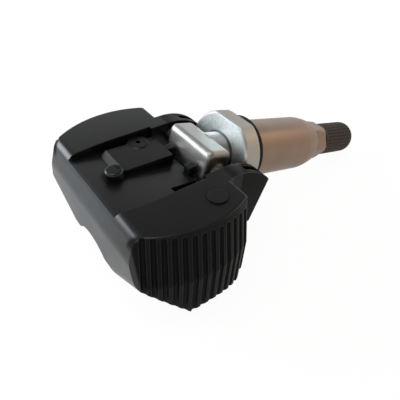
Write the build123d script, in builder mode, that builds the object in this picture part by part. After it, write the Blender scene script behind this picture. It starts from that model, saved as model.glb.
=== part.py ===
from build123d import *
import os
from math import atan2, cos, hypot, radians, sin, tan

# A clamp-in tyre pressure sensor: a moulded butterfly housing that swivels on a metal tyre valve.
# The origin lies on the valve axis, on the face that seats against the inside of the wheel rim.
# +X runs along the swivel axis, +Y outboard, and +Z out of the housing's deck. Sizes are in millimetres.

os.makedirs("parts", exist_ok=True)

# Valve line: how the valve leans out of the deck, and the stack from the swivel axis to the rim seat
valve_tilt = 15.0
foot_depth = 7.2
foot_to_flange = 3.1
flange_thickness = 5.4
grommet_thickness = 2.8

# Valve foot: a hammer head with a flat top and rounded edges, carried by two trunnions
foot_length = 16.0
foot_top = 5.1
foot_back_round = 1.5
foot_front_round = 1.9
foot_end_edge = 1.2
foot_drop = 3.2
trunnion_radius = 2.0
trunnion_grip = 2.0
web_length = 14.0
web_top = -1.5

# Valve neck, flange and tube
neck_radius = 5.3
flange_radius = 10.6
flange_flat = 9.4
flange_edge = 0.5
stem_radius = 4.85
stem_length = 31.0
tip_radius = 3.85
tip_length = 18.0
tip_edge = 0.4
air_bore_radius = 1.6
air_port_radius = 1.2

# Grommet, washer and sleeve nut
rim_hole_radius = 5.75
rim_hole_play = 0.1
grommet_radius = 9.2
grommet_neck = 2.6
grommet_edge = 0.5
stem_play = 0.1
washer_radius = 6.9
washer_thickness = 1.2
washer_play = 0.06
nut_radius = 7.75
nut_length = 34.0
nut_straight = 22.5
nut_bow_radius = 7.2
nut_bow_at = 25.8
nut_shoulder_radius = 6.4
nut_shoulder_at = 28.6
nut_end_radius = 5.75
nut_hex_flats = 10.7
nut_hex_length = 6.4
nut_seat_gap = 0.05

# Dust cap and its seal
cap_radius = 5.0
cap_wall_end = 1.6
cap_gap = 1.0
cap_round = 2.2
cap_flutes = 30
cap_flute_radius = 0.22
cap_flute_start = 1.2
cap_thread_play = 0.1
cap_seal_thickness = 1.0
cap_seal_play = 0.05

# Valve core
core_radius = 2.6
core_play = 0.05
core_recess = 2.2
core_length = 7.0
core_spigot_radius = 1.9
core_spigot_length = 1.6
core_spring_well = 4.6
core_spring_well_radius = 1.35
pin_radius = 0.55
pin_guide_play = 0.08
pin_head_radius = 1.1
pin_head_thickness = 0.6
pin_recess = 0.4
poppet_radius = 2.1
poppet_thickness = 0.9
poppet_cup_thickness = 0.7
poppet_play = 0.02
core_travel = 1.5
spring_radius = 0.95
spring_wire = 0.26
spring_turns = 4.5

# Housing outline, measured from the swivel axis
deck_height = 3.7
back_reach = 27.9
back_round = 2.6
tail_reach = 33.0
tail_half = 13.0
end_half = 23.9
end_reach = 13.6
front_half = 21.3
front_reach = 2.3
plan_corner = 1.2
rim_height = 0.8
deck_edge = 0.6

# Housing belly: a fuller outline below the shoulder, and the shaped underside
shoulder_drop = 6.0
shoulder_round = 7.0
flare_drop = 12.0
belly_back_grow = 1.8
belly_tail_grow = 4.3
belly_end_grow = 2.3
belly_front_grow = 2.0
belly_depth = 24.2
belly_back_depth = 18.6
belly_back_round = 3.0
belly_heel_reach = 17.5
belly_heel_round = 18.0
belly_toe_reach = 4.2
belly_toe_round = 3.5
belly_front_depth = 12.7
flank_out = 0.4
flank_round = 4.0
arch_depth = 14.3
arch_radius = 8.5
arch_fall = 9.7
corner_cut_x = 21.3
corner_cut_depth = 11.9
corner_cut_turn = 41.8
corner_cut_rise = 29.3
corner_cut_round = 6.0

# Ribbed ends
rib_grooves = 13
groove_first = 0.255
groove_foot_first = 0.19
groove_last = 0.955
groove_radius = 0.62
groove_from_deck = 0.3
groove_fall = 2.5

# Front cheeks that carry the valve foot
cheek_inner = 11.0
cheek_thickness = 4.0
cheek_rise_reach = -0.8
cheek_tip_reach = 11.0
cheek_tip_drop = 5.9
cheek_toe_reach = 6.6
cheek_toe_drop = 17.8
cheek_root = 6.0
bearing_play = 0.05
bearing_end_play = 0.2
cheek_slot_reach = 6.2
cheek_slot_length = 5.2
cheek_slot_width = 1.8
cheek_slot_floor = 4.6
foot_clearance = 0.45

# Valley between the wings: a ramp from the back lip down to the valve pocket
valley_back_half = 10.6
valley_mid_half = 11.9
valley_front_half = 10.4
valley_back_drop = 0.8
valley_front_drop = 4.0
pad_near = -0.8
pad_far = -9.8
pad_back_reach = 20.8
pad_front_reach = 6.4
pad_back_height = 1.0
pad_front_height = 2.3
pad_back_slope = 1.6
peg_height = 2.1
peg_edge = 0.6
near_peg_radius = 2.1
far_peg_radius = 2.9
trench_near = 7.6
trench_far = 9.9
trench_back_reach = 12.6
trench_floor_drop = 5.1
hook_x = 4.5
hook_width = 2.0
hook_root = 0.9
hook_top_drop = 1.8
hook_nose_drop = 3.1
hook_heel_drop = 4.6
hook_reach = 3.9
boss_x = 18.0
boss_reach = 8.0
boss_radius = 2.2
boss_height = 0.3
near_peg_x = -1.2
near_peg_reach = 21.6
far_peg_x = -9.2
far_peg_reach = 11.0
port_radius = 0.6

# Cavity, cover and board
wall = 1.6
ceiling_drop = 6.6
cover_top_drop = 11.7
cover_half = 18.6
cover_front_reach = 6.6
cover_play = 0.1
cover_lip = 1.4
cover_corner = 2.5
board_thickness = 1.0
board_play = 0.3
cell_radius = 8.0
cell_thickness = 3.2
cell_play = 0.2
cell_edge = 0.3
cell_x = 9.6
tab_width = 4.0
tab_thickness = 0.15
chip_length = 6.0
chip_width = 5.0
chip_height = 1.9
chip_port_radius = 0.7
crystal_length = 3.2
crystal_width = 2.5
crystal_height = 0.8
crystal_corner = 0.4
crystal_x = -1.0
crystal_y = -11.5
coil_length = 8.0
coil_width = 4.0
coil_height = 3.0
coil_flange = 1.2
coil_winding_width = 3.2
coil_winding_height = 2.4
coil_x = 9.0
coil_y = -13.0
antenna_width = 1.6
antenna_thickness = 0.4
antenna_span = 13.0
antenna_rise = 3.2
antenna_x = -8.0
antenna_back_gap = 3.4
capacitor_length = 1.6
capacitor_width = 0.8
capacitor_height = 0.8
capacitor_x = 6.0
capacitor_y = -20.0
capacitor_count = 6
capacitor_pitch = 1.7
gasket_radius = 2.0
membrane_radius = 1.9
membrane_thickness = 0.3

# Frames worked out from the sizes above
tilt = radians(valve_tilt)
valve_dir = Vector(0, cos(tilt), -sin(tilt))
valve_up = Vector(0, sin(tilt), cos(tilt))
valve_axis = Axis((0, 0, 0), valve_dir)
valve_side = Plane(origin=(0, 0, 0), x_dir=valve_dir, z_dir=(1, 0, 0))
swivel_to_seat = foot_depth / 2 + foot_to_flange + flange_thickness + grommet_thickness
swivel = valve_dir * -swivel_to_seat
flange_front = -grommet_thickness - flange_thickness
stem_tip = stem_length + tip_length
housing_side = Plane(origin=swivel, x_dir=(0, 1, 0), z_dir=(1, 0, 0))
housing_front = Plane(origin=swivel, x_dir=(1, 0, 0), z_dir=(0, -1, 0))
cover_top = deck_height - cover_top_drop
ceiling = deck_height - ceiling_drop
board_top = cover_top + board_thickness


def across(axial):
    """The plane square to the valve axis at a distance from the rim seat, with its y up."""
    return Plane(origin=valve_dir * axial, x_dir=(-1, 0, 0), z_dir=valve_dir)


def level(height):
    """The horizontal plane at a height above the swivel axis."""
    return Plane(origin=swivel + Vector(0, 0, height))


def finish(builder, name):
    """Name a piece and write its file."""
    builder.part.label = name
    export_step(builder.part, f"parts/{name}.step")


def rounded_form(plane, corners):
    """A closed outline from corners, each with its x, its y and the radius that rounds it."""
    with BuildSketch(plane) as sketch:
        with BuildLine():
            Polyline([(x, y) for x, y, _ in corners], close=True)
        make_face()
        for x, y, radius in corners:
            if radius > 0:
                fillet(sketch.vertices().sort_by_distance((x, y, 0))[0], radius=radius)
    return sketch.sketch


# Valve stem: foot, neck, two-flat flange and tube in one piece, with the air passage bored through
foot_mid = -swivel_to_seat
neck_start = foot_mid + foot_depth / 4
foot_corners = (
    (foot_mid - foot_depth / 2, -foot_drop, 0),
    (foot_mid + foot_depth / 2, -foot_drop, 0),
    (foot_mid + foot_depth / 2, foot_top, foot_front_round),
    (foot_mid - foot_depth / 2, foot_top, foot_back_round),
)
foot_form = rounded_form(valve_side, foot_corners)
core_seat = stem_tip - core_recess - core_length - core_spigot_length
with BuildPart() as valve_stem:
    with BuildSketch(valve_side):
        with BuildLine():
            Polyline(
                (neck_start, 0),
                (neck_start, neck_radius),
                (flange_front, neck_radius),
                (flange_front, flange_radius),
                (-grommet_thickness, flange_radius),
                (-grommet_thickness, stem_radius),
                (stem_length, stem_radius),
                (stem_length, tip_radius),
                (stem_tip - tip_edge, tip_radius),
                (stem_tip, tip_radius - tip_edge),
                (stem_tip, 0),
                close=True,
            )
        make_face()
    revolve(axis=valve_axis)
    rim = valve_stem.edges().filter_by(GeomType.CIRCLE)
    chamfer(rim.filter_by(lambda edge: abs(edge.radius - flange_radius) < 0.01), length=flange_edge)
    with BuildSketch(across(flange_front)):
        Rectangle(4 * flange_radius, 4 * flange_radius)
        Rectangle(4 * flange_radius, 2 * flange_flat, mode=Mode.SUBTRACT)
    extrude(amount=flange_thickness, mode=Mode.SUBTRACT)
    extrude(foot_form, amount=foot_length / 2, both=True)
    fillet(valve_stem.faces().filter_by(Axis.X).edges(), radius=foot_end_edge)
    with BuildSketch(valve_side):
        with Locations(((foot_mid + flange_front) / 2, (web_top - foot_drop) / 2)):
            Rectangle(flange_front - foot_mid, web_top + foot_drop)
    extrude(amount=web_length / 2, both=True)
    with BuildSketch(Plane(origin=swivel, x_dir=(0, 1, 0), z_dir=(1, 0, 0))):
        Circle(trunnion_radius)
    extrude(amount=cheek_inner + trunnion_grip, both=True)
    with BuildSketch(across(stem_tip)):
        Circle(core_radius + core_play)
    extrude(amount=-(stem_tip - core_seat), mode=Mode.SUBTRACT)
    with BuildSketch(across(core_seat)):
        Circle(poppet_radius + core_play * 4)
    extrude(amount=-(poppet_thickness + poppet_cup_thickness + core_travel * 2), mode=Mode.SUBTRACT)
    with BuildSketch(across(core_seat)):
        Circle(air_bore_radius)
    extrude(amount=-(core_seat - flange_front + foot_to_flange / 2), mode=Mode.SUBTRACT)
    with BuildSketch(Plane(origin=valve_dir * (flange_front - foot_to_flange / 2), z_dir=-valve_up)):
        Circle(air_port_radius)
    extrude(amount=2 * neck_radius, mode=Mode.SUBTRACT)
finish(valve_stem, "valve_stem")

# Rim grommet: a rubber washer with a short neck that fills the rim's valve hole
with BuildPart() as rim_grommet:
    with BuildSketch(valve_side):
        with BuildLine():
            Polyline(
                (-grommet_thickness, stem_radius),
                (-grommet_thickness, grommet_radius),
                (0, grommet_radius),
                (0, rim_hole_radius - rim_hole_play),
                (grommet_neck, rim_hole_radius - rim_hole_play),
                (grommet_neck, stem_radius),
                close=True,
            )
        make_face()
    revolve(axis=valve_axis)
    rim = rim_grommet.edges().filter_by(GeomType.CIRCLE)
    chamfer(rim.filter_by(lambda edge: abs(edge.radius - grommet_radius) < 0.01), length=grommet_edge)
finish(rim_grommet, "rim_grommet")

# Nut washer: a plain ring that lets the nut turn without dragging the rubber
with BuildPart() as nut_washer:
    with BuildSketch(across(nut_seat_gap)):
        Circle(washer_radius)
        Circle(rim_hole_radius, mode=Mode.SUBTRACT)
    extrude(amount=washer_thickness)
finish(nut_washer, "nut_washer")

# Sleeve nut: turned sleeve that narrows to a hexagonal end
with BuildPart() as sleeve_nut:
    with BuildSketch(valve_side):
        with BuildLine():
            Polyline(
                (nut_length, nut_end_radius),
                (nut_length, stem_radius + stem_play),
                (grommet_neck + nut_seat_gap + washer_play, stem_radius + stem_play),
                (grommet_neck + nut_seat_gap + washer_play, rim_hole_radius),
                (nut_seat_gap + washer_thickness + washer_play, rim_hole_radius),
                (nut_seat_gap + washer_thickness + washer_play, washer_radius + washer_play),
                (nut_seat_gap, washer_radius + washer_play),
                (nut_seat_gap, nut_radius),
                (nut_straight, nut_radius),
            )
            ThreePointArc(
                (nut_straight, nut_radius),
                (nut_bow_at, nut_bow_radius),
                (nut_shoulder_at, nut_shoulder_radius),
            )
            Line((nut_shoulder_at, nut_shoulder_radius), (nut_length, nut_end_radius))
        make_face()
    revolve(axis=valve_axis)
    with BuildSketch(across(nut_length)):
        Circle(2 * nut_radius)
        RegularPolygon(radius=nut_hex_flats / 2, side_count=6, major_radius=False, mode=Mode.SUBTRACT)
    extrude(amount=-nut_hex_length, mode=Mode.SUBTRACT)
finish(sleeve_nut, "sleeve_nut")

# Dust cap: a moulded cup with a rounded end and fine grip flutes
cap_base = nut_length + cap_gap
cap_floor = stem_tip + 2 * cap_seal_play + cap_seal_thickness
cap_end = cap_floor + cap_wall_end
with BuildPart() as valve_cap:
    with BuildSketch(across(cap_base)):
        Circle(cap_radius)
    extrude(amount=cap_end - cap_base)
    fillet(valve_cap.edges().sort_by(valve_axis)[-1], radius=cap_round)
    with BuildSketch(across(cap_base + cap_flute_start)):
        with PolarLocations(cap_radius, cap_flutes):
            Circle(cap_flute_radius)
    extrude(amount=cap_end - cap_base - cap_flute_start, mode=Mode.SUBTRACT)
    with BuildSketch(across(cap_base)):
        Circle(tip_radius + cap_thread_play)
    extrude(amount=cap_floor - cap_base, mode=Mode.SUBTRACT)
finish(valve_cap, "valve_cap")

# Cap seal: a rubber disc in the bottom of the cap
with BuildPart() as cap_seal:
    with BuildSketch(across(stem_tip + cap_seal_play)):
        Circle(tip_radius)
    extrude(amount=cap_seal_thickness)
finish(cap_seal, "cap_seal")

# Valve core: barrel, gasket, pin, poppet washer and spring
core_top = stem_tip - core_recess
barrel_end = core_top - core_length
with BuildPart() as core_barrel:
    with BuildSketch(valve_side):
        with BuildLine():
            Polyline(
                (core_top, core_spring_well_radius),
                (core_top, core_radius),
                (barrel_end, core_radius),
                (barrel_end, core_spigot_radius),
                (core_seat, core_spigot_radius),
                (core_seat, pin_radius + pin_guide_play),
                (core_top - core_spring_well, pin_radius + pin_guide_play),
                (core_top - core_spring_well, core_spring_well_radius),
                close=True,
            )
        make_face()
    revolve(axis=valve_axis)
finish(core_barrel, "core_barrel")

with BuildPart() as core_gasket:
    with BuildSketch(across(core_seat)):
        Circle(core_radius)
        Circle(core_spigot_radius, mode=Mode.SUBTRACT)
    extrude(amount=core_spigot_length)
finish(core_gasket, "core_gasket")

pin_top = stem_tip - pin_recess
with BuildPart() as core_pin:
    with BuildSketch(valve_side):
        with BuildLine():
            Polyline(
                (pin_top, 0),
                (pin_top, pin_radius),
                (core_top + pin_head_thickness, pin_radius),
                (core_top + pin_head_thickness, pin_head_radius),
                (core_top, pin_head_radius),
                (core_top, pin_radius),
                (core_seat - poppet_play - poppet_thickness, pin_radius),
                (core_seat - poppet_play - poppet_thickness, poppet_radius),
                (core_seat - poppet_play - poppet_thickness - poppet_cup_thickness, poppet_radius),
                (core_seat - poppet_play - poppet_thickness - poppet_cup_thickness, 0),
                close=True,
            )
        make_face()
    revolve(axis=valve_axis)
finish(core_pin, "core_pin")

with BuildPart() as core_poppet:
    with BuildSketch(across(core_seat - poppet_play)):
        Circle(poppet_radius)
        Circle(pin_radius, mode=Mode.SUBTRACT)
    extrude(amount=-poppet_thickness)
finish(core_poppet, "core_poppet")

spring_foot = core_top - core_spring_well + spring_wire / 2
spring_height = core_spring_well - spring_wire
with BuildPart() as core_spring:
    with BuildLine() as coil_line:
        Helix(
            pitch=spring_height / spring_turns,
            height=spring_height,
            radius=spring_radius,
            center=valve_dir * spring_foot,
            direction=valve_dir,
        )
    with BuildSketch(Plane(origin=coil_line.line @ 0, z_dir=coil_line.line % 0)):
        Rectangle(spring_wire, spring_wire)
    sweep(is_frenet=True)
finish(core_spring, "core_spring")


def end_arc(grow_tail, grow_end, grow_front):
    """The arched end of the plan on the near side, from tail to front, grown by an amount at each point."""
    tail = (tail_half + grow_tail, -tail_reach)
    middle = (end_half + grow_end, -end_reach)
    front = (front_half + grow_front, -front_reach)
    return ThreePointArc(tail, middle, front)


def plan(height, grow_tail, grow_end, grow_front):
    """Butterfly plan at a height: two arched ends, a straight front and a tail behind the back wall."""
    with BuildSketch(level(height)) as sketch:
        with BuildLine():
            right = end_arc(grow_tail, grow_end, grow_front)
            left = mirror(right, about=Plane.YZ)
            Line(right @ 0, left @ 0)
            Line(right @ 1, left @ 1)
        make_face()
        fillet(sketch.vertices(), radius=plan_corner)
    return sketch.sketch


# Hull: the housing's outer form, flared at its ends and trimmed by side, front and corner outlines
shoulder = deck_height - shoulder_drop
flare_foot = deck_height - flare_drop
floor = deck_height - belly_depth
belly_back = back_reach + belly_back_grow
belly_end = end_half + belly_end_grow
belly_grow = (belly_tail_grow, belly_end_grow, belly_front_grow)
side_corners = (
    (0, deck_height, 0),
    (-back_reach, deck_height, back_round),
    (-belly_back, shoulder, shoulder_round),
    (-belly_back, deck_height - belly_back_depth, belly_back_round),
    (-belly_heel_reach, floor, belly_heel_round),
    (-belly_toe_reach, floor, belly_toe_round),
    (0, deck_height - belly_front_depth, 0),
)
flank_half = belly_end + flank_out
flank_corners = (
    (-flank_half, deck_height + wall, 0),
    (flank_half, deck_height + wall, 0),
    (flank_half, floor, flank_round),
    (-flank_half, floor, flank_round),
)
arch_plane = Plane(
    origin=swivel + Vector(0, -belly_back, deck_height - arch_depth),
    x_dir=(1, 0, 0),
    z_dir=(0, cos(radians(arch_fall)), -sin(radians(arch_fall))),
)
cut_turn = radians(corner_cut_turn)
cut_rise = radians(corner_cut_rise)
cut_reach = 2 * belly_depth
cut_corners = (
    (0, 0, corner_cut_round),
    (cut_reach * sin(cut_turn), cut_reach * cos(cut_turn), 0),
    (cut_reach, -cut_reach, 0),
    (0, -cut_reach, 0),
)
deck_top = plan(deck_height, 0, 0, 0)
deck_rim = plan(deck_height - rim_height, 0, 0, 0)
belly_top = plan(flare_foot, *belly_grow)
side_form = rounded_form(housing_side, side_corners)
flank_form = rounded_form(housing_front, flank_corners)
corner_forms = []
for side in (1, -1):
    cut_edge = swivel + Vector(side * corner_cut_x, -belly_back, deck_height - corner_cut_depth)
    cut_line = Vector(-cos(cut_rise), 0, -side * sin(cut_rise))
    corner_forms.append(rounded_form(Plane(origin=cut_edge, x_dir=(0, 1, 0), z_dir=cut_line), cut_corners))
with BuildPart() as hull:
    extrude(deck_top, amount=-rim_height)
    loft([deck_rim, belly_top], ruled=True)
    extrude(belly_top, amount=floor - wall - flare_foot)
    fillet(hull.faces().sort_by(Axis.Z)[-1].edges(), radius=deck_edge)
    extrude(side_form, amount=2 * end_half, both=True, mode=Mode.INTERSECT)
    extrude(flank_form, amount=2 * tail_reach, both=True, mode=Mode.INTERSECT)
    for corner_form in corner_forms:
        extrude(corner_form, amount=4 * end_half, both=True, mode=Mode.INTERSECT)
    with BuildSketch(arch_plane):
        with Locations((0, arch_radius)):
            Circle(arch_radius)
        with Locations((0, 2 * arch_radius)):
            Rectangle(2 * arch_radius, 2 * arch_radius)
    extrude(amount=2 * back_reach, mode=Mode.SUBTRACT)


def rib_cutter(share):
    """One rib groove: a round cutter that follows the flared end wall down to the underside."""
    rim_point = end_arc(0, 0, 0) @ (groove_first + share * (groove_last - groove_first))
    belly_point = end_arc(*belly_grow) @ (groove_foot_first + share * (groove_last - groove_foot_first))
    lean = (groove_from_deck + share * groove_fall) / flare_drop
    rim_top = swivel + rim_point + Vector(0, 0, deck_height)
    bend = swivel + belly_point + Vector(0, 0, flare_foot)
    top = rim_top + (bend - rim_top) * lean
    foot = swivel + belly_point + Vector(0, 0, floor - groove_radius)
    path = Polyline(top, bend, foot)
    section = Plane(origin=top, z_dir=path % 0) * Circle(groove_radius)
    return sweep(section, path=path, transition=Transition.RIGHT) + Pos(top) * Sphere(groove_radius)


# Valley: the space between the wings, above a ramp that falls towards the valve foot
pocket_reach = hypot(foot_depth / 2, foot_drop) + foot_clearance
valley_end = belly_back
with BuildPart() as valley:
    with BuildSketch(level(deck_height - 2 * valley_front_drop)):
        with BuildLine():
            ThreePointArc(
                (-valley_back_half, -valley_end), (-valley_mid_half, -end_reach), (-valley_front_half, 0)
            )
            Line((-valley_front_half, 0), (valley_front_half, 0))
            ThreePointArc(
                (valley_front_half, 0), (valley_mid_half, -end_reach), (valley_back_half, -valley_end)
            )
            Line((valley_back_half, -valley_end), (-valley_back_half, -valley_end))
        make_face()
    extrude(amount=3 * valley_front_drop)
    with BuildSketch(housing_side):
        with BuildLine():
            Polyline(
                (-valley_end, deck_height - valley_back_drop),
                (-pocket_reach, deck_height - valley_front_drop),
                (0, deck_height - valley_front_drop),
                (0, deck_height + valley_front_drop),
                (-valley_end, deck_height + valley_front_drop),
                close=True,
            )
        make_face()
    extrude(amount=2 * valley_mid_half, both=True, mode=Mode.INTERSECT)

# Cover well and ramp: lengths worked out for the pieces below
cover_back_reach = back_reach - wall
cover_depth = cover_back_reach - cover_front_reach
cover_mid = -(cover_back_reach + cover_front_reach) / 2
ramp_rise = atan2(valley_front_drop - valley_back_drop, valley_end - pocket_reach)


def ramp_height(reach):
    """Height of the valley's ramp at a distance behind the swivel axis."""
    return deck_height - valley_front_drop + (reach - pocket_reach) * tan(ramp_rise)


def peg(radius):
    """A round peg with a rounded rim, the middle of its top at the origin."""
    with BuildPart() as form:
        Cylinder(radius, 2 * peg_height, align=(Align.CENTER, Align.CENTER, Align.MAX))
        fillet(form.edges().sort_by(Axis.Z)[-1], radius=peg_edge)
    return form.part


# Housing: one moulding with ribbed ends, a valley with a raised pad and two pegs, and two cheeks
pegs = ((near_peg_x, near_peg_reach, near_peg_radius), (far_peg_x, far_peg_reach, far_peg_radius))
near_grooves = [rib_cutter(index / (rib_grooves - 1)) for index in range(rib_grooves)]
far_grooves = [mirror(groove, about=Plane.YZ) for groove in near_grooves]
with BuildPart() as housing:
    add(hull.part)
    add(near_grooves + far_grooves, mode=Mode.SUBTRACT)
    add(valley.part, mode=Mode.SUBTRACT)
    with BuildSketch(housing_side.offset(pad_far)):
        with BuildLine():
            Polyline(
                (-pad_back_reach, ramp_height(pad_back_reach) - pad_back_height),
                (-pad_back_reach, ramp_height(pad_back_reach)),
                (-pad_back_reach + pad_back_slope, ramp_height(pad_back_reach) + pad_back_height),
                (-pad_front_reach, ramp_height(pad_front_reach) + pad_front_height),
                (-pad_front_reach, ramp_height(pad_front_reach) - pad_back_height),
                close=True,
            )
        make_face()
    extrude(amount=pad_near - pad_far)
    for edge_x, wing_x in ((trench_near, valley_mid_half), (-valley_mid_half, -trench_far)):
        with BuildSketch(level(deck_height - trench_floor_drop)):
            with BuildLine():
                Polyline(
                    (edge_x, -trench_back_reach),
                    (wing_x, -trench_back_reach),
                    (wing_x, -pocket_reach),
                    (edge_x, -pocket_reach),
                    close=True,
                )
            make_face()
        extrude(amount=trench_floor_drop, mode=Mode.SUBTRACT)
    for peg_x, peg_reach, peg_radius in pegs:
        peg_top = swivel + Vector(peg_x, -peg_reach, ramp_height(peg_reach) + peg_height)
        add(Pos(peg_top) * peg(peg_radius))
    with BuildSketch(level(deck_height)):
        with Locations((boss_x, -boss_reach)):
            Circle(boss_radius)
    extrude(amount=boss_height)
    for side in (1, -1):
        with BuildSketch(housing_side.offset(side * cheek_inner)):
            with BuildLine():
                Line((-cheek_root, deck_height), (cheek_rise_reach, deck_height))
                TangentArc(
                    (cheek_rise_reach, deck_height),
                    (cheek_tip_reach, deck_height - cheek_tip_drop),
                    tangent=(1, 0),
                )
                Polyline(
                    (cheek_tip_reach, deck_height - cheek_tip_drop),
                    (cheek_toe_reach, deck_height - cheek_toe_drop),
                    (-cheek_root, deck_height - cheek_toe_drop),
                    (-cheek_root, deck_height),
                )
            make_face()
        extrude(amount=side * cheek_thickness)
        slot_x = side * (cheek_inner + cheek_thickness / 2)
        with BuildSketch(level(deck_height - cheek_slot_floor)):
            with Locations((slot_x, cheek_slot_reach)):
                Rectangle(cheek_slot_width, cheek_slot_length)
        extrude(amount=cheek_slot_floor, mode=Mode.SUBTRACT)
    with BuildSketch(housing_side):
        with BuildLine():
            Polyline(
                (-pocket_reach, deck_height),
                (-pocket_reach, -pocket_reach),
                (cheek_tip_reach, -pocket_reach),
                (cheek_tip_reach, deck_height),
                close=True,
            )
        make_face()
    extrude(amount=cheek_inner, both=True, mode=Mode.SUBTRACT)
    for hook_mid in (hook_x, -hook_x):
        with BuildSketch(housing_side.offset(hook_mid)):
            with BuildLine():
                Polyline(
                    (-pocket_reach - hook_root, deck_height - hook_heel_drop),
                    (-pocket_reach, deck_height - hook_heel_drop),
                    (-hook_reach, deck_height - hook_nose_drop),
                    (-hook_reach, deck_height - hook_top_drop),
                    (-pocket_reach - hook_root, deck_height - hook_top_drop),
                    close=True,
                )
            make_face()
        extrude(amount=hook_width / 2, both=True)
    with BuildSketch(housing_side):
        Circle(trunnion_radius + bearing_play)
    extrude(amount=cheek_inner + trunnion_grip + bearing_end_play, both=True, mode=Mode.SUBTRACT)
    with BuildSketch(level(cover_top)):
        with Locations((0, cover_mid)):
            RectangleRounded(2 * cover_half, cover_depth, cover_corner)
    extrude(amount=2 * (floor - cover_top), mode=Mode.SUBTRACT)
    with BuildSketch(level(cover_top)):
        with Locations((0, cover_mid)):
            RectangleRounded(2 * (cover_half - cover_lip), cover_depth - 2 * cover_lip, cover_corner)
    extrude(amount=ceiling - cover_top, mode=Mode.SUBTRACT)
    with BuildSketch(level(ceiling)):
        with Locations((far_peg_x, -far_peg_reach)):
            Circle(port_radius)
    extrude(amount=deck_height + peg_height - ceiling, mode=Mode.SUBTRACT)
finish(housing, "housing")

# Bottom cover: a plug that carries on the housing's underside, with a well for the coin cell
cell_bed = cover_top - tab_thickness * 2 - cell_thickness
with BuildPart() as bottom_cover:
    with BuildSketch(level(cover_top)):
        with Locations((0, cover_mid)):
            RectangleRounded(
                2 * (cover_half - cover_play), cover_depth - 2 * cover_play, cover_corner - cover_play
            )
    extrude(amount=2 * (floor - cover_top))
    add(hull.part, mode=Mode.INTERSECT)
    with BuildSketch(level(cover_top)):
        with Locations((cell_x, cover_mid)):
            Circle(cell_radius + cell_play)
        with Locations((cell_x - cell_radius, cover_mid)):
            Rectangle(2 * (cell_play + 4 * tab_thickness), tab_width + 2 * cell_play)
    extrude(amount=cell_bed - tab_thickness - cover_top, mode=Mode.SUBTRACT)
finish(bottom_cover, "bottom_cover")

# Coin cell in the cover's well
with BuildPart() as battery_cell:
    with BuildSketch(level(cell_bed)):
        with Locations((cell_x, cover_mid)):
            Circle(cell_radius)
    extrude(amount=cell_thickness)
    chamfer(battery_cell.edges().filter_by(GeomType.CIRCLE), length=cell_edge)
finish(battery_cell, "battery_cell")

# Plus tab: a flat strip between the cell's top and the board
with BuildPart() as battery_tab_plus:
    with BuildSketch(level(cell_bed + cell_thickness)):
        with Locations((cell_x, cover_mid)):
            Rectangle(2 * cell_radius - 2 * cell_edge, tab_width)
    extrude(amount=cover_top - cell_bed - cell_thickness)
finish(battery_tab_plus, "battery_tab_plus")

# Minus tab: a bent strip from under the cell up to the board
with BuildPart() as battery_tab_minus:
    tab_left = cell_x - cell_radius - cell_play - 3 * tab_thickness
    with BuildSketch(Plane(origin=swivel + Vector(0, cover_mid, 0), x_dir=(1, 0, 0), z_dir=(0, -1, 0))):
        with BuildLine():
            Polyline(
                (tab_left, cell_bed - tab_thickness),
                (cell_x, cell_bed - tab_thickness),
                (cell_x, cell_bed),
                (tab_left + tab_thickness, cell_bed),
                (tab_left + tab_thickness, cover_top),
                (tab_left, cover_top),
                close=True,
            )
        make_face()
    extrude(amount=tab_width / 2, both=True)
finish(battery_tab_minus, "battery_tab_minus")

# Circuit board on the cover, and the parts soldered to it
with BuildPart() as circuit_board:
    with BuildSketch(level(cover_top)):
        with Locations((0, cover_mid)):
            RectangleRounded(
                2 * (cover_half - cover_lip - board_play),
                cover_depth - 2 * cover_lip - 2 * board_play,
                cover_corner - board_play,
            )
    extrude(amount=board_thickness)
finish(circuit_board, "circuit_board")

with BuildPart() as sensor_chip:
    with BuildSketch(level(board_top)):
        with Locations((far_peg_x, -far_peg_reach)):
            Rectangle(chip_length, chip_width)
    extrude(amount=chip_height)
    with BuildSketch(level(board_top + chip_height)):
        with Locations((far_peg_x, -far_peg_reach)):
            Circle(chip_port_radius)
    extrude(amount=-chip_height / 2, mode=Mode.SUBTRACT)
finish(sensor_chip, "sensor_chip")

with BuildPart() as port_membrane:
    with BuildSketch(level(ceiling)):
        with Locations((far_peg_x, -far_peg_reach)):
            Circle(membrane_radius)
    extrude(amount=-membrane_thickness)
finish(port_membrane, "port_membrane")

with BuildPart() as port_gasket:
    with BuildSketch(level(board_top + chip_height)):
        with Locations((far_peg_x, -far_peg_reach)):
            Circle(gasket_radius)
            Circle(2 * chip_port_radius, mode=Mode.SUBTRACT)
    extrude(amount=ceiling - membrane_thickness - board_top - chip_height)
finish(port_gasket, "port_gasket")

with BuildPart() as timing_crystal:
    with BuildSketch(level(board_top)):
        with Locations((crystal_x, crystal_y)):
            RectangleRounded(crystal_length, crystal_width, crystal_corner)
    extrude(amount=crystal_height)
finish(timing_crystal, "timing_crystal")

# Wake coil: a ferrite bobbin with two square flanges and the winding between them
with BuildPart() as wake_coil:
    with BuildSketch(level(board_top)):
        with Locations((coil_x, coil_y)):
            Rectangle(coil_length, coil_width)
    extrude(amount=coil_height)
    with BuildSketch(level(board_top + coil_height / 2)):
        with Locations((coil_x, coil_y)):
            Rectangle(coil_length - 2 * coil_flange, 2 * coil_width)
    extrude(amount=coil_height, both=True, mode=Mode.SUBTRACT)
    coil_mid = swivel + Vector(coil_x, coil_y, board_top + coil_height / 2)
    with BuildSketch(Plane(origin=coil_mid, x_dir=(0, 1, 0), z_dir=(1, 0, 0))):
        RectangleRounded(coil_winding_width, coil_winding_height, coil_winding_height / 3)
    extrude(amount=coil_length / 2 - coil_flange, both=True)
finish(wake_coil, "wake_coil")

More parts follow.
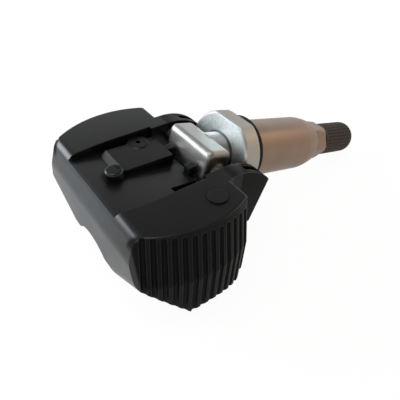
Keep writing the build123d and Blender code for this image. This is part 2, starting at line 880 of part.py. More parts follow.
# Radio antenna: a strip bent into a low bridge on the board
antenna_y = -(cover_back_reach - cover_lip - antenna_back_gap)
with BuildPart() as radio_antenna:
    with BuildSketch(
        Plane(origin=swivel + Vector(antenna_x, antenna_y, board_top), x_dir=(1, 0, 0), z_dir=(0, -1, 0))
    ):
        with Locations((0, antenna_rise / 2)):
            Rectangle(antenna_span, antenna_rise)
        with Locations((0, (antenna_rise - antenna_thickness) / 2)):
            Rectangle(
                antenna_span - 2 * antenna_thickness, antenna_rise - antenna_thickness, mode=Mode.SUBTRACT
            )
    extrude(amount=antenna_width / 2, both=True)
finish(radio_antenna, "radio_antenna")

with BuildPart() as chip_capacitors:
    with BuildSketch(level(board_top)):
        with Locations((capacitor_x, capacitor_y)):
            with GridLocations(capacitor_pitch, 0, capacitor_count, 1):
                Rectangle(capacitor_width, capacitor_length)
    extrude(amount=capacitor_height)
finish(chip_capacitors, "chip_capacitors")
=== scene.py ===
import bpy
import math
import numpy as np
from mathutils import Matrix, Vector


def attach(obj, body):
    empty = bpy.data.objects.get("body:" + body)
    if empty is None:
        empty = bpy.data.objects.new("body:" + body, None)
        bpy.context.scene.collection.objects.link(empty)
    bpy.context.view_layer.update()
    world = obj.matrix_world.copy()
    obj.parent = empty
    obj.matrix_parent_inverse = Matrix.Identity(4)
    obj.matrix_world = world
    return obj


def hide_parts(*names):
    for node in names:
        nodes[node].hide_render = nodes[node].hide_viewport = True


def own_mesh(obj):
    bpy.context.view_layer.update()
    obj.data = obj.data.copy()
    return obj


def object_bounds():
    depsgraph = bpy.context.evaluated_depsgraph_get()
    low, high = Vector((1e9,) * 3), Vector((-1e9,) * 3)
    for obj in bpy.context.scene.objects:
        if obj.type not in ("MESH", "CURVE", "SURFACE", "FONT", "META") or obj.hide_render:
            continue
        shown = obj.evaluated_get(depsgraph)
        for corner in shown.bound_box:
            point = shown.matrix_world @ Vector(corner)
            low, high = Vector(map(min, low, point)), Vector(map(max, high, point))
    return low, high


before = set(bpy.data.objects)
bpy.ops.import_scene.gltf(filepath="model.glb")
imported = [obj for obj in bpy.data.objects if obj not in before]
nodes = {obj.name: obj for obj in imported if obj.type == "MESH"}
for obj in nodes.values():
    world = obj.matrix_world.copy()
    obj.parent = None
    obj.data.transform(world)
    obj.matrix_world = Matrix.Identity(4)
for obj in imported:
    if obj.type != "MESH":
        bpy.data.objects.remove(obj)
cad_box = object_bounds()


# Valve stem
# A cast aluminium valve with a T foot, blasted to a satin grain; its flange and tube are turned on a lathe.
# The foot lies in the housing's cradle and the tube carries a rolled thread for the sleeve nut and the cap.
def fill(tree, node, values):
    """Sets a node's inputs, each to a number, a colour or a link from another socket."""
    for key, value in values.items():
        if isinstance(value, bpy.types.NodeSocket):
            tree.links.new(value, node.inputs[key])
        else:
            node.inputs[key].default_value = value
    return node


def add(tree, kind, values=(), **settings):
    """One shader node with its settings, and with its inputs by name or number."""
    node = tree.nodes.new("ShaderNode" + kind)
    for name, value in settings.items():
        setattr(node, name, value)
    return fill(tree, node, dict(values))


def effect(name, inputs, outputs):
    """A shared effect as a node group: number inputs with start values, and outputs with socket kinds."""
    tree = bpy.data.node_groups.new(name, "ShaderNodeTree")
    for title, value in inputs.items():
        socket = tree.interface.new_socket(name=title, in_out="INPUT", socket_type="NodeSocketFloat")
        socket.default_value = value
    for title, kind in outputs.items():
        tree.interface.new_socket(name=title, in_out="OUTPUT", socket_type="NodeSocket" + kind)
    return tree, tree.nodes.new("NodeGroupInput"), tree.nodes.new("NodeGroupOutput")


def use(tree, group, **values):
    """Places a shared effect with its own values; an underscore in a name stands for a space."""
    node = tree.nodes.new("ShaderNodeGroup")
    node.node_tree = group
    return fill(tree, node, {name.replace("_", " "): value for name, value in values.items()})


def calc(tree, operation, first, *others):
    """One sum on a number or socket, or on several of them from left to right."""
    if not others:
        return add(tree, "Math", {0: first}, operation=operation).outputs[0]
    for other in others:
        first = add(tree, "Math", {0: first, 1: other}, operation=operation).outputs[0]
    return first


def distance(tree, across, along):
    """How far a point lies from a line or corner: the square root of the squares of its two legs, added."""
    squares = (calc(tree, "MULTIPLY", leg, leg) for leg in (across, along))
    return calc(tree, "SQRT", calc(tree, "ADD", *squares))


def spread(tree, value, low, high, start=0.0, end=1.0):
    """Carries a value from its range to a new one, held at both ends."""
    values = {"Value": value, "From Min": start, "From Max": end, "To Min": low, "To Max": high}
    return add(tree, "MapRange", values).outputs["Result"]


def shade(tree, factor, first, second):
    """A colour between two others, by a mask. Each is red, green and blue, or comes from a socket."""
    ends = [(*colour, 1.0) if isinstance(colour, tuple) else colour for colour in (first, second)]
    return add(tree, "Mix", {0: factor, 6: ends[0], 7: ends[1]}, data_type="RGBA").outputs[2]


def raised(tree, height, strength, depth, edge=None):
    """The normal of a surface with a fine relief, laid over its rounded edges where it has them."""
    values = {"Height": height, "Strength": strength, "Distance": depth}
    if edge is not None:
        values["Normal"] = edge.outputs["Normal"]
    return add(tree, "Bump", values).outputs["Normal"]


def finish_of(name):
    """An empty material and its node tree."""
    material = bpy.data.materials.new(name)
    material.use_nodes = True
    return material, material.node_tree


def surface(tree, colour, roughness, normal=None, **levels):
    """Links a finish to its shader, and sets the levels there that are the same all over."""
    values = {"Base Color": colour, "Roughness": roughness}
    if normal is not None:
        values["Normal"] = normal
    values.update({name.replace("_", " "): level for name, level in levels.items()})
    fill(tree, tree.nodes["Principled BSDF"], values)


def dress(material, *names):
    """Gives CAD nodes their material in the slots that they came with."""
    for name in names:
        if not nodes[name].material_slots:
            nodes[name].data.materials.append(material)
        for slot in nodes[name].material_slots:
            slot.material = material


# Rounded edge: the normal is averaged within the radius, and the edge mask is how far that turns it.
# The mask is full at the first of these cosines of the turn, and nothing at the second.
edge_cosine, flat_cosine = 0.75, 0.99
rounded_edge, way_in, way_out = effect(
    "rounded_edge", {"Radius": 0.0003}, {"Normal": "Vector", "Edge": "Float"}
)
soft_normal = add(rounded_edge, "Bevel", {"Radius": way_in.outputs["Radius"]}, samples=6).outputs[0]
flat_normal = add(rounded_edge, "NewGeometry").outputs["True Normal"]
turn = add(rounded_edge, "VectorMath", {0: soft_normal, 1: flat_normal}, operation="DOT_PRODUCT")
edge_mask = spread(rounded_edge, turn.outputs["Value"], 1.0, 0.0, edge_cosine, flat_cosine)
fill(rounded_edge, way_out, {"Normal": soft_normal, "Edge": edge_mask})

# Fine grain: a noise for the height, a coarser one for flecks, and a slow cloud for colour and gloss.
# The middle part of a noise's range is stretched to a mask.
fleck_share = 0.45
noise_low, noise_high = 0.3, 0.7
fine_grain, way_in, way_out = effect(
    "fine_grain", {"Grain": 0.0003, "Cloud size": 0.008},
    {"Height": "Float", "Fleck": "Float", "Cloud": "Float"},
)
place = add(fine_grain, "TexCoord").outputs["Object"]
grain_scale = calc(fine_grain, "DIVIDE", 1.0, way_in.outputs["Grain"])
cloud_scale = calc(fine_grain, "DIVIDE", 1.0, way_in.outputs["Cloud size"])
fleck_scale = calc(fine_grain, "MULTIPLY", grain_scale, fleck_share)
skin = add(fine_grain, "TexNoise", {"Vector": place, "Scale": grain_scale, "Detail": 2.0, "Roughness": 0.55})
fleck = add(fine_grain, "TexNoise", {"Vector": place, "Scale": fleck_scale, "Detail": 3.0, "Roughness": 0.6})
cloud = add(fine_grain, "TexNoise", {"Vector": place, "Scale": cloud_scale, "Detail": 3.0, "Roughness": 0.5})
fill(fine_grain, way_out, {
    "Height": skin.outputs["Fac"],
    "Fleck": spread(fine_grain, fleck.outputs["Fac"], 0.0, 1.0, noise_low, noise_high),
    "Cloud": spread(fine_grain, cloud.outputs["Fac"], 0.0, 1.0, noise_low, noise_high),
})

# Valve place: how far along the valve's axis a point lies, its angle round that axis, its distance from it,
# and how far it is to the side.
valve_tilt = math.radians(15)
valve_line = (0.0, math.cos(valve_tilt), -math.sin(valve_tilt))
valve_up = (0.0, math.sin(valve_tilt), math.cos(valve_tilt))
valve_place, way_in, way_out = effect(
    "valve_place", {}, {"Along": "Float", "Angle": "Float", "Reach": "Float", "Side": "Float"}
)
place = add(valve_place, "TexCoord").outputs["Object"]
along = add(valve_place, "VectorMath", {0: place, 1: valve_line}, operation="DOT_PRODUCT").outputs["Value"]
rise = add(valve_place, "VectorMath", {0: place, 1: valve_up}, operation="DOT_PRODUCT").outputs["Value"]
side = add(valve_place, "SeparateXYZ", {0: place}).outputs["X"]
fill(valve_place, way_out, {
    "Along": along,
    "Angle": calc(valve_place, "ARCTAN2", side, rise),
    "Reach": distance(valve_place, side, rise),
    "Side": side,
})

# Turned marks: rings of random depth round the valve's axis, with slow streaks between them.
streak_share = 0.09
turned_marks, way_in, way_out = effect(
    "turned_marks", {"Pitch": 0.0001}, {"Height": "Float", "Streak": "Float"}
)
along = use(turned_marks, valve_place).outputs["Along"]
ring = calc(turned_marks, "DIVIDE", along, way_in.outputs["Pitch"])
streak = calc(turned_marks, "MULTIPLY", ring, streak_share)
rings = add(turned_marks, "TexNoise", {"W": ring, "Scale": 1.0, "Detail": 2.0}, noise_dimensions="1D")
streaks = add(turned_marks, "TexNoise", {"W": streak, "Scale": 1.0, "Detail": 1.0}, noise_dimensions="1D")
fill(turned_marks, way_out, {
    "Height": rings.outputs["Fac"],
    "Streak": spread(turned_marks, streaks.outputs["Fac"], 0.0, 1.0, noise_low, noise_high),
})

# Rolled thread: a triangle wave along the axis that shifts by one pitch in each turn, between two ends.
rolled_thread, way_in, way_out = effect(
    "rolled_thread", {"Pitch": 0.0008, "Start": 0.03, "End": 0.04}, {"Height": "Float"}
)
screw = use(rolled_thread, valve_place)
turns = calc(rolled_thread, "DIVIDE", screw.outputs["Angle"], 2 * math.pi)
pitches = calc(rolled_thread, "DIVIDE", screw.outputs["Along"], way_in.outputs["Pitch"])
half_wave = calc(rolled_thread, "PINGPONG", calc(rolled_thread, "SUBTRACT", pitches, turns), 0.5)
begun = calc(rolled_thread, "GREATER_THAN", screw.outputs["Along"], way_in.outputs["Start"])
ended = calc(rolled_thread, "LESS_THAN", screw.outputs["Along"], way_in.outputs["End"])
fill(rolled_thread, way_out, {"Height": calc(rolled_thread, "MULTIPLY", half_wave, 2.0, begun, ended)})

# The foot and neck keep their blasted skin, and what lies past the flange's inner face is turned.
# Painted shade darkens the crease where the neck meets that face, and the foot's ends are painted darker as
# shaded.
flange_face = -0.00825
flange_rim = -0.00775
neck_radius = 0.0053
foot_end = 0.008
crease_shade_weight = 0.85
crease_shade_off_face = (0.0001, 0.0006)
crease_shade_off_neck = (neck_radius + 0.0002, neck_radius + 0.0007)
end_shade_fade = (foot_end - 0.0009, foot_end - 0.0001)
turned_edge = 0.00035
cast_edge = 0.0011
turned_grain = 0.25
mark_depth = 0.7
thread_depth = 6.0
valve_metal, tree = finish_of("valve_metal")
grain = use(tree, fine_grain, Grain=0.00022, Cloud_size=0.006)
marks = use(tree, turned_marks, Pitch=0.00009)
thread = use(tree, rolled_thread, Pitch=0.0008, Start=0.0345, End=0.0445)
on_stem = use(tree, valve_place)
along = on_stem.outputs["Along"]
turned = calc(tree, "GREATER_THAN", along, flange_face)
rim_side = calc(tree, "GREATER_THAN", along, flange_rim)
cast = calc(tree, "SUBTRACT", 1.0, turned)
edge = use(tree, rounded_edge, Radius=spread(tree, cast, turned_edge, cast_edge))
skin = calc(tree, "MULTIPLY", grain.outputs["Height"], spread(tree, cast, turned_grain, 1.0))
lines = calc(tree, "MULTIPLY", marks.outputs["Height"], turned, mark_depth)
ridges = calc(tree, "MULTIPLY", thread.outputs["Height"], thread_depth)
cast_tone = shade(tree, grain.outputs["Fleck"], (0.52, 0.52, 0.5), (0.6, 0.6, 0.575))
# Painted light: the flange face is painted light and cool as if lit, and its rim dark and warm as a painted
# reflection.
lit_face_tone = shade(tree, grain.outputs["Fleck"], (0.67, 0.73, 0.75), (0.93, 0.98, 0.98))
shaded_rim_tone = shade(tree, marks.outputs["Streak"], (0.42, 0.4, 0.37), (0.47, 0.445, 0.41))
tone = shade(tree, rim_side, shade(tree, turned, cast_tone, lit_face_tone), shaded_rim_tone)
bright = shade(tree, edge.outputs["Edge"], tone, (0.86, 0.87, 0.875))
# Painted shade: the crease where the neck meets the flange's inner face is darkened to near black.
off_face = calc(tree, "ABSOLUTE", calc(tree, "SUBTRACT", along, flange_face))
near_face = spread(tree, off_face, crease_shade_weight, 0.0, *crease_shade_off_face)
near_neck = spread(tree, on_stem.outputs["Reach"], 1.0, 0.0, *crease_shade_off_neck)
crease_shaded = shade(tree, calc(tree, "MULTIPLY", near_neck, near_face), bright, (0.05, 0.05, 0.05))
# Painted shade: the foot's two ends are painted darker, as if in shade.
to_side = calc(tree, "ABSOLUTE", on_stem.outputs["Side"])
at_end = spread(tree, to_side, 0.0, 1.0, *end_shade_fade)
end_shaded = shade(tree, calc(tree, "MULTIPLY", at_end, cast), crease_shaded, (0.25, 0.235, 0.22))
satin = spread(tree, calc(tree, "SUBTRACT", turned, rim_side), 0.37, 0.4)
surface(
    tree,
    colour=end_shaded,
    roughness=calc(tree, "ADD", satin, spread(tree, grain.outputs["Fleck"], 0.0, 0.08)),
    normal=raised(tree, calc(tree, "ADD", skin, lines, ridges), strength=0.22, depth=0.00006, edge=edge),
    Metallic=1.0,
)
dress(valve_metal, "valve_stem")


# Valve core
# A small turned brass barrel screwed into the stem, with a pin that a steel spring holds shut.
# Its gasket and poppet seal are black moulded rubber, and the spring is drawn as a fixed coil of wire.
core_brass, tree = finish_of("core_brass")
marks = use(tree, turned_marks, Pitch=0.00012)
grain = use(tree, fine_grain, Grain=0.0002, Cloud_size=0.003)
edge = use(tree, rounded_edge, Radius=0.0001)
surface(
    tree,
    colour=shade(tree, grain.outputs["Cloud"], (0.56, 0.39, 0.15), (0.72, 0.53, 0.24)),
    roughness=spread(tree, marks.outputs["Streak"], 0.22, 0.38),
    normal=raised(tree, marks.outputs["Height"], strength=0.3, depth=0.00004, edge=edge),
    Metallic=1.0,
)
dress(core_brass, "core_barrel", "core_pin")

spring_steel, tree = finish_of("spring_steel")
grain = use(tree, fine_grain, Grain=0.00015, Cloud_size=0.002)
surface(
    tree,
    colour=shade(tree, grain.outputs["Cloud"], (0.42, 0.42, 0.43), (0.6, 0.6, 0.6)),
    roughness=spread(tree, grain.outputs["Fleck"], 0.2, 0.36),
    normal=raised(tree, grain.outputs["Height"], strength=0.2, depth=0.00003),
    Metallic=1.0,
)
dress(spring_steel, "core_spring")

spring_radius = 0.00095
spring_wire = 0.00026
spring_turns = 4.5
spring_floor = 0.0422
spring_well = 0.0046
end_flatness = 0.75


def coiled_wire(steps_per_turn, steps_round):
    """A round wire on a coil. The angle grows evenly along it, and the height is the share of the way less
    a sine that slows the rise at both ends, so that the end turns lie flat. Rings of points stand square to
    that path."""
    share = np.linspace(0.0, 1.0, int(spring_turns * steps_per_turn) + 1)[:, None]
    turned = 2 * np.pi * spring_turns * share
    sine = np.sin(2 * np.pi * share) / (2 * np.pi)
    rise = spring_floor + spring_wire / 2 + (spring_well - spring_wire) * (share - end_flatness * sine)
    sideways, upward, forward = np.array((1.0, 0.0, 0.0)), np.array(valve_up), np.array(valve_line)
    outward = np.cos(turned) * sideways + np.sin(turned) * upward
    path = rise * forward + spring_radius * outward
    heading = np.gradient(path, axis=0)
    heading /= np.linalg.norm(heading, axis=1, keepdims=True)
    across = np.cross(heading, outward)
    angle = np.linspace(0.0, 2 * np.pi, steps_round, endpoint=False)[None, :, None]
    spokes = np.cos(angle) * outward[:, None] + np.sin(angle) * across[:, None]
    rings = path[:, None] + spring_wire / 2 * spokes
    number = np.arange(rings.shape[0] * steps_round).reshape(-1, steps_round)
    beside = np.roll(number, -1, axis=1)
    sides = np.stack((number[:-1], beside[:-1], beside[1:], number[1:]), axis=-1).reshape(-1, 4)
    ends = [number[0, ::-1].tolist(), number[-1].tolist()]
    mesh = bpy.data.meshes.new("core_spring_wire")
    mesh.from_pydata(rings.reshape(-1, 3).tolist(), [], sides.tolist() + ends)
    mesh.polygons.foreach_set("use_smooth", [True] * len(sides) + [False] * len(ends))
    return mesh


spring = bpy.data.objects.new("core_spring_wire", coiled_wire(steps_per_turn=32, steps_round=12))
bpy.context.scene.collection.objects.link(spring)
spring.data.materials.append(spring_steel)
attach(spring, "valve")
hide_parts("core_spring")
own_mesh(spring)

soft_rubber, tree = finish_of("soft_rubber")
grain = use(tree, fine_grain, Grain=0.00018, Cloud_size=0.004)
edge = use(tree, rounded_edge, Radius=0.0002)
surface(
    tree,
    colour=shade(tree, grain.outputs["Cloud"], (0.007, 0.007, 0.007), (0.014, 0.014, 0.0145)),
    roughness=spread(tree, grain.outputs["Fleck"], 0.55, 0.72),
    normal=raised(tree, grain.outputs["Height"], strength=0.35, depth=0.00005, edge=edge),
    Specular_IOR_Level=0.2,
)
dress(soft_rubber, "core_gasket", "core_poppet", "rim_grommet", "cap_seal", "port_gasket")


# Housing
# The butterfly-shaped shell is moulded in glass-filled nylon, with grip ribs on its flared ends.
# Its skin has a fine spark-eroded grain that shines like a coat; the ribs, cheeks and pad are matt.
wing_middle = (0.0025, -0.0287)
wing_radius = 0.0202
wing_fade = 0.0003
corner_side = (0.0125, 0.0155)
corner_height = (-0.0105, -0.0085)
deck_level = 0.0074
deck_fade = (deck_level - 0.0002, deck_level + 0.0001)
back_line = -0.0432
back_fade = 0.0002
cheek_line = -0.0155
cheek_fade = 0.0005
pad_middle = (-0.0053, -0.028)
pad_half = (0.0046, 0.0073)
slope_end = -0.0336
slope_fade = 0.0001
housing_plastic, tree = finish_of("housing_plastic")
grain = use(tree, fine_grain, Grain=0.00028, Cloud_size=0.009)
edge = use(tree, rounded_edge, Radius=0.0005)
spot = add(tree, "SeparateXYZ", {0: add(tree, "TexCoord").outputs["Object"]})
side, front, up = (spot.outputs[axis] for axis in "XYZ")
either_side = calc(tree, "ABSOLUTE", side)

# The ribs lie outside a circle about each wing's middle, below the deck's edge and ahead of the back wall.
# The lower corners beside them are matt too, and so is the pad, most of all on the slope at its back.
from_side = calc(tree, "SUBTRACT", either_side, wing_middle[0])
from_front = calc(tree, "SUBTRACT", front, wing_middle[1])
from_middle = distance(tree, from_side, from_front)
outside = spread(tree, from_middle, 0.0, 1.0, wing_radius - wing_fade, wing_radius + wing_fade)
below = spread(tree, up, 1.0, 0.0, *deck_fade)
ahead = spread(tree, front, 0.0, 1.0, back_line - back_fade, back_line + back_fade)
low_down = spread(tree, up, 1.0, 0.0, *corner_height)
far_out = spread(tree, either_side, 0.0, 1.0, *corner_side)
corner = calc(tree, "MULTIPLY", low_down, far_out)
ribbed = calc(tree, "MULTIPLY", calc(tree, "MAXIMUM", outside, corner), below, ahead)
cheeks = spread(tree, front, 0.0, 0.75, cheek_line - cheek_fade, cheek_line + cheek_fade)
off_side = calc(tree, "ABSOLUTE", calc(tree, "SUBTRACT", side, pad_middle[0]))
off_front = calc(tree, "ABSOLUTE", calc(tree, "SUBTRACT", front, pad_middle[1]))
in_width = calc(tree, "LESS_THAN", off_side, pad_half[0])
in_length = calc(tree, "LESS_THAN", off_front, pad_half[1])
pad_dull = spread(tree, front, 0.75, 0.25, slope_end - slope_fade, slope_end + slope_fade)
matt = calc(tree, "MAXIMUM", ribbed, cheeks, calc(tree, "MULTIPLY", in_width, in_length, pad_dull))

# Dust on the back wall, with painted sheen: faint cool clouds painted lighter, fading out towards its
# corners.
dust_and_sheen_line = -0.042
dust_and_sheen_fade = 0.0006
corner_fade = 0.0035
dust_and_sheen_noise = use(tree, fine_grain, Grain=0.0011, Cloud_size=0.0065)
on_back = spread(tree, front, 1.0, 0.0, dust_and_sheen_line - dust_and_sheen_fade, dust_and_sheen_line + dust_and_sheen_fade)
off_corner = spread(tree, from_middle, 1.0, 0.0, wing_radius - corner_fade, wing_radius + wing_fade)
clouds = spread(tree, dust_and_sheen_noise.outputs["Cloud"], 0.4, 1.0, 0.1, 0.9)
specks = spread(tree, dust_and_sheen_noise.outputs["Fleck"], 0.8, 1.0)
dust_and_sheen = calc(tree, "MULTIPLY", on_back, off_corner, clouds, specks)

# Painted shade: an occlusion mask takes the shine off grooves and corners; crests near the deck, rubbed by
# hands, keep it.
groove_reach = 0.0016
rubbed_height = (-0.011, 0.005)
shade_in_hollows = add(tree, "AmbientOcclusion", {"Distance": groove_reach}, samples=8, only_local=True)
unshaded = spread(tree, shade_in_hollows.outputs["AO"], 0.02, 1.0, 0.6, 0.97)
rubbed = calc(tree, "MULTIPLY", edge.outputs["Edge"], spread(tree, up, 0.15, 1.0, *rubbed_height))
dull = calc(tree, "MULTIPLY", matt, spread(tree, rubbed, 1.0, 0.2))
speckle = spread(tree, grain.outputs["Fleck"], 0.88, 1.0)
dusted = spread(tree, dust_and_sheen, 1.0, 0.62)
shine = calc(tree, "MULTIPLY", spread(tree, dull, 1.0, 0.07), speckle, unshaded, dusted)

tone = shade(tree, grain.outputs["Cloud"], (0.0042, 0.0043, 0.0047), (0.0062, 0.0063, 0.0068))
worn_edge = calc(tree, "MULTIPLY", edge.outputs["Edge"], grain.outputs["Fleck"])
worn = shade(tree, worn_edge, tone, (0.016, 0.016, 0.0165))
cloudy = spread(tree, grain.outputs["Cloud"], 0.36, 0.46)
surface(
    tree,
    # Dust and painted sheen: the back wall's clouds are painted a lighter, cool grey.
    colour=shade(tree, dust_and_sheen, worn, (0.062, 0.078, 0.092)),
    roughness=calc(tree, "ADD", cloudy, spread(tree, grain.outputs["Fleck"], -0.03, 0.05)),
    normal=raised(tree, grain.outputs["Height"], strength=0.32, depth=0.00006, edge=edge),
    Coat_Weight=shine,
    Coat_Roughness=0.28,
    Coat_IOR=1.59,
    Specular_IOR_Level=0.05,
)
dress(housing_plastic, "housing")


# Circuit board and what is on it
# A thin green laminate with copper tracks under lacquer, held under the housing's ceiling.
# It carries the pressure chip, crystal, wake coil, capacitors, aerial strip and the welded cell straps.
board_laminate, tree = finish_of("board_laminate")
place = add(tree, "TexCoord").outputs["Object"]
tracks = add(tree, "TexBrick", {
    "Vector": place, "Scale": 420.0, "Mortar Size": 0.035, "Mortar Smooth": 0.3,
    "Color1": (0.012, 0.085, 0.035, 1.0), "Color2": (0.014, 0.1, 0.042, 1.0),
    "Mortar": (0.03, 0.17, 0.06, 1.0),
})
grain = use(tree, fine_grain, Grain=0.0002, Cloud_size=0.005)
surface(
    tree,
    colour=tracks.outputs["Color"],
    roughness=spread(tree, grain.outputs["Fleck"], 0.3, 0.42),
    normal=raised(tree, tracks.outputs["Fac"], strength=0.2, depth=0.00004),
)
dress(board_laminate, "circuit_board")

can_steel, tree = finish_of("can_steel")
place = add(tree, "TexCoord").outputs["Object"]
brushing = add(tree, "Mapping", {"Vector": place, "Scale": (300.0, 9000.0, 300.0)}).outputs[0]
brushed = add(tree, "TexNoise", {"Vector": brushing, "Scale": 1.0, "Detail": 2.0}).outputs["Fac"]
surface(
    tree,
    colour=shade(tree, brushed, (0.5, 0.5, 0.49), (0.66, 0.66, 0.65)),
    roughness=spread(tree, brushed, 0.22, 0.4),
    normal=raised(tree, brushed, strength=0.15, depth=0.00003),
    Metallic=1.0,
)
dress(can_steel, "battery_cell", "timing_crystal")

nickel_strip, tree = finish_of("nickel_strip")
grain = use(tree, fine_grain, Grain=0.00025, Cloud_size=0.004)
surface(
    tree,
    colour=shade(tree, grain.outputs["Cloud"], (0.5, 0.47, 0.4), (0.64, 0.61, 0.53)),
    roughness=spread(tree, grain.outputs["Fleck"], 0.26, 0.4),
    normal=raised(tree, grain.outputs["Height"], strength=0.15, depth=0.00003),
    Metallic=1.0,
)
dress(nickel_strip, "battery_tab_plus", "battery_tab_minus", "radio_antenna")

chip_plastic, tree = finish_of("chip_plastic")
grain = use(tree, fine_grain, Grain=0.00012, Cloud_size=0.002)
edge = use(tree, rounded_edge, Radius=0.0001)
surface(
    tree,
    colour=shade(tree, grain.outputs["Cloud"], (0.011, 0.011, 0.011), (0.018, 0.018, 0.018)),
    roughness=spread(tree, grain.outputs["Fleck"], 0.4, 0.55),
    normal=raised(tree, grain.outputs["Height"], strength=0.25, depth=0.00003, edge=edge),
)
dress(chip_plastic, "sensor_chip")

coil_ferrite, tree = finish_of("coil_ferrite")
place = add(tree, "TexCoord").outputs["Object"]
coils = add(tree, "TexWave", {"Vector": place, "Scale": 1600.0, "Distortion": 0.2}, bands_direction="X")
winding = coils.outputs["Fac"]
surface(
    tree,
    colour=shade(tree, winding, (0.06, 0.022, 0.012), (0.3, 0.12, 0.05)),
    roughness=spread(tree, winding, 0.45, 0.3),
    normal=raised(tree, winding, strength=0.5, depth=0.00005),
)
dress(coil_ferrite, "wake_coil")

chip_ceramic, tree = finish_of("chip_ceramic")
grain = use(tree, fine_grain, Grain=0.0001, Cloud_size=0.0012)
surface(
    tree,
    colour=shade(tree, grain.outputs["Cloud"], (0.24, 0.15, 0.075), (0.34, 0.22, 0.12)),
    roughness=spread(tree, grain.outputs["Fleck"], 0.3, 0.45),
)
dress(chip_ceramic, "chip_capacitors")

vent_sheet, tree = finish_of("vent_sheet")
place = add(tree, "TexCoord").outputs["Object"]
fibres = add(tree, "TexVoronoi", {"Vector": place, "Scale": 9000.0}).outputs["Distance"]
surface(
    tree,
    colour=shade(tree, fibres, (0.7, 0.7, 0.68), (0.84, 0.84, 0.82)),
    roughness=spread(tree, fibres, 0.75, 0.9),
    normal=raised(tree, fibres, strength=0.4, depth=0.00003),
)
dress(vent_sheet, "port_membrane")


# Bottom cover
# A moulded lid in the same nylon as the housing, laser-welded round its edge once the board is in.
# Its dye lets the laser through, and leaves it a shade greyer and duller than the shell.
cover_plastic, tree = finish_of("cover_plastic")
grain = use(tree, fine_grain, Grain=0.00032, Cloud_size=0.007)
edge = use(tree, rounded_edge, Radius=0.0003)
surface(
    tree,
    colour=shade(tree, grain.outputs["Cloud"], (0.011, 0.011, 0.0115), (0.016, 0.016, 0.0165)),
    roughness=spread(tree, grain.outputs["Fleck"], 0.42, 0.56),
    normal=raised(tree, grain.outputs["Height"], strength=0.36, depth=0.00006, edge=edge),
)
dress(cover_plastic, "bottom_cover")


# Sleeve nut and its washer
# A long nut turned from bar, satin and warm in tone, with a hexagon milled on its outer end.
# A pale acetal ring in its base lets it turn without winding up the grommet.
grain_depth = 0.5
edge_share = 0.5
nut_metal, tree = finish_of("nut_metal")
grain = use(tree, fine_grain, Grain=0.00016, Cloud_size=0.007)
edge = use(tree, rounded_edge, Radius=0.0003)
marks = use(tree, turned_marks, Pitch=0.00011)
skin = calc(tree, "MULTIPLY", grain.outputs["Height"], grain_depth)
relief = calc(tree, "ADD", marks.outputs["Height"], skin)
tone = shade(tree, grain.outputs["Cloud"], (0.292, 0.207, 0.153), (0.325, 0.233, 0.175))
bare_edge = calc(tree, "MULTIPLY", edge.outputs["Edge"], edge_share)
surface(
    tree,
    colour=shade(tree, bare_edge, tone, (0.42, 0.34, 0.28)),
    roughness=spread(tree, marks.outputs["Streak"], 0.31, 0.34),
    normal=raised(tree, relief, strength=0.05, depth=0.00005, edge=edge),
    Metallic=1.0,
)
dress(nut_metal, "sleeve_nut")

washer_plastic, tree = finish_of("washer_plastic")
grain = use(tree, fine_grain, Grain=0.0003, Cloud_size=0.004)
surface(
    tree,
    colour=shade(tree, grain.outputs["Cloud"], (0.66, 0.65, 0.6), (0.74, 0.73, 0.69)),
    roughness=spread(tree, grain.outputs["Fleck"], 0.4, 0.5),
    normal=raised(tree, grain.outputs["Height"], strength=0.15, depth=0.00004),
)
dress(washer_plastic, "nut_washer")


# Dust cap
# A moulded plastic cap with fine flutes for the fingers, dark brown-grey and matt from handling.
# It screws onto the valve's tip, over the core, and a rubber disc inside keeps the dirt out.
cap_plastic, tree = finish_of("cap_plastic")
grain = use(tree, fine_grain, Grain=0.00022, Cloud_size=0.005)
edge = use(tree, rounded_edge, Radius=0.0005)
tone = shade(tree, grain.outputs["Cloud"], (0.052, 0.034, 0.021), (0.066, 0.045, 0.029))
pale_edge = calc(tree, "MULTIPLY", edge.outputs["Edge"], edge_share)
surface(
    tree,
    colour=shade(tree, pale_edge, tone, (0.075, 0.063, 0.054)),
    roughness=spread(tree, grain.outputs["Fleck"], 0.44, 0.58),
    normal=raised(tree, grain.outputs["Height"], strength=0.3, depth=0.00005, edge=edge),
    Specular_IOR_Level=0.2,
)
dress(cap_plastic, "valve_cap")


# Table and studio
# A plain white table under the part, in a room that is pale low down, dim above and warmer on one side.
# The table keeps part of its lit look, so the part's shadow shows on it and in what mirrors it.
table_gap = 0.0002
table_half = 2.0
table_glow = 1.06
camera_share = 0.9
mirror_share = 0.38
table_level = cad_box[0][2] - table_gap
table_signs = ((-1, -1), (1, -1), (1, 1), (-1, 1))
table_corners = [(x * table_half, y * table_half, table_level) for x, y in table_signs]
table_mesh = bpy.data.meshes.new("table")
table_mesh.from_pydata(table_corners, [], [(0, 1, 2, 3)])
table = bpy.data.objects.new("table", table_mesh)
bpy.context.scene.collection.objects.link(table)
table_white, tree = finish_of("table_white")
tree.nodes.remove(tree.nodes["Principled BSDF"])
ray = add(tree, "LightPath")
mirrored = calc(tree, "MAXIMUM", ray.outputs["Is Glossy Ray"], ray.outputs["Is Transmission Ray"])
straight = calc(tree, "MULTIPLY", ray.outputs["Is Camera Ray"], camera_share)
seen = calc(tree, "MAXIMUM", straight, calc(tree, "MULTIPLY", mirrored, mirror_share))
lit = add(tree, "BsdfDiffuse", {"Color": (0.88, 0.88, 0.88, 1.0)})
glow = add(tree, "Emission", {"Color": (1.0, 1.0, 1.0, 1.0), "Strength": table_glow})
white = add(tree, "MixShader", {0: seen, 1: lit.outputs[0], 2: glow.outputs[0]})
tree.links.new(white.outputs[0], tree.nodes["Material Output"].inputs["Surface"])
table_mesh.materials.append(table_white)

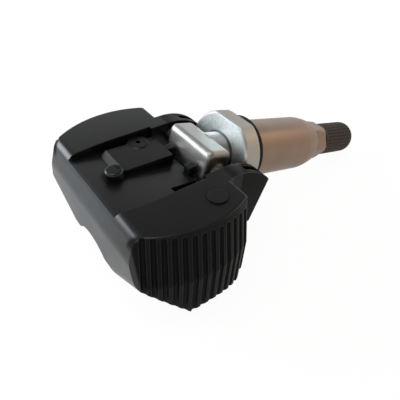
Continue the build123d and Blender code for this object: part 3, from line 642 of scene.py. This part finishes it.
# Room: the camera sees it as plain white. Its walls light the part, pale low down and dim above,
# with a tint that goes from cool to warm along the part's own X.
wall_light, ceiling_light = 0.97, 0.145
wall_ends = (0.42, 0.52)
tint_ends = (-0.2, 0.5)
cool_side = (0.97, 0.985, 1.0)
warm_side = (0.78, 0.68, 0.59)
room = bpy.data.worlds.new("room")
bpy.context.scene.world = room
room.use_nodes = True
tree = room.node_tree
facing = add(tree, "SeparateXYZ", {0: add(tree, "TexCoord").outputs["Generated"]})
wall = spread(tree, facing.outputs["Z"], wall_light, ceiling_light, *wall_ends)
channels = {}
for index, (cool, warm) in enumerate(zip(cool_side, warm_side)):
    tint = spread(tree, facing.outputs["X"], cool, warm, *tint_ends)
    channels[index] = calc(tree, "MULTIPLY", wall, tint)
walls = add(tree, "CombineColor", channels).outputs[0]
backdrop = shade(tree, add(tree, "LightPath").outputs["Is Camera Ray"], walls, (1.0, 1.0, 1.0))
tree.links.new(backdrop, tree.nodes["Background"].inputs["Color"])


# Soft boxes: a cool one to the camera's left, a white one above and a warm one past the valve's tip.
def soft_box(name, place, aim, width, height, power, colour):
    """A rectangular lamp at a place, turned to face a point."""
    lamp = bpy.data.lights.new(name, "AREA")
    lamp.shape = "RECTANGLE"
    lamp.size = width
    lamp.size_y = height
    lamp.energy = power
    lamp.color = colour
    holder = bpy.data.objects.new(name, lamp)
    holder.location = place
    holder.rotation_euler = (Vector(aim) - Vector(place)).to_track_quat("-Z", "Y").to_euler()
    bpy.context.scene.collection.objects.link(holder)


middle = (0.0, -0.01, 0.0)
cool_light, plain_light, warm_light = (0.88, 0.95, 1.0), (1.0, 1.0, 1.0), (1.0, 0.74, 0.52)
soft_box("key_box", (-0.46, -0.33, 0.23), middle, width=0.3, height=0.3, power=1.6, colour=cool_light)
soft_box("top_box", (-0.1, -0.12, 0.6), middle, width=0.25, height=0.25, power=0.7, colour=plain_light)
soft_box("warm_box", (0.18, 0.48, 0.33), middle, width=0.36, height=0.2, power=0.26, colour=warm_light)

# Camera: where the photograph was taken from, as directions of its right, its top and its back.
camera_data = bpy.data.cameras.new("camera")
camera_data.sensor_width = 36.0
camera_data.lens = 36.0
camera_data.clip_start = 0.005
camera = bpy.data.objects.new("camera", camera_data)
bpy.context.scene.collection.objects.link(camera)
camera_spot = (0.062904, -0.064363, 0.062665)
camera_right = Vector((0.59823, 0.79940, 0.05547))
camera_top = Vector((-0.56704, 0.37339, 0.73420))
camera_back = Vector((0.56621, -0.47067, 0.67667))
camera_turn = Matrix((camera_right, camera_top, camera_back)).transposed().to_4x4()
camera.matrix_world = Matrix.Translation(camera_spot) @ camera_turn
bpy.context.scene.camera = camera
bpy.context.scene.view_settings.view_transform = "Standard"
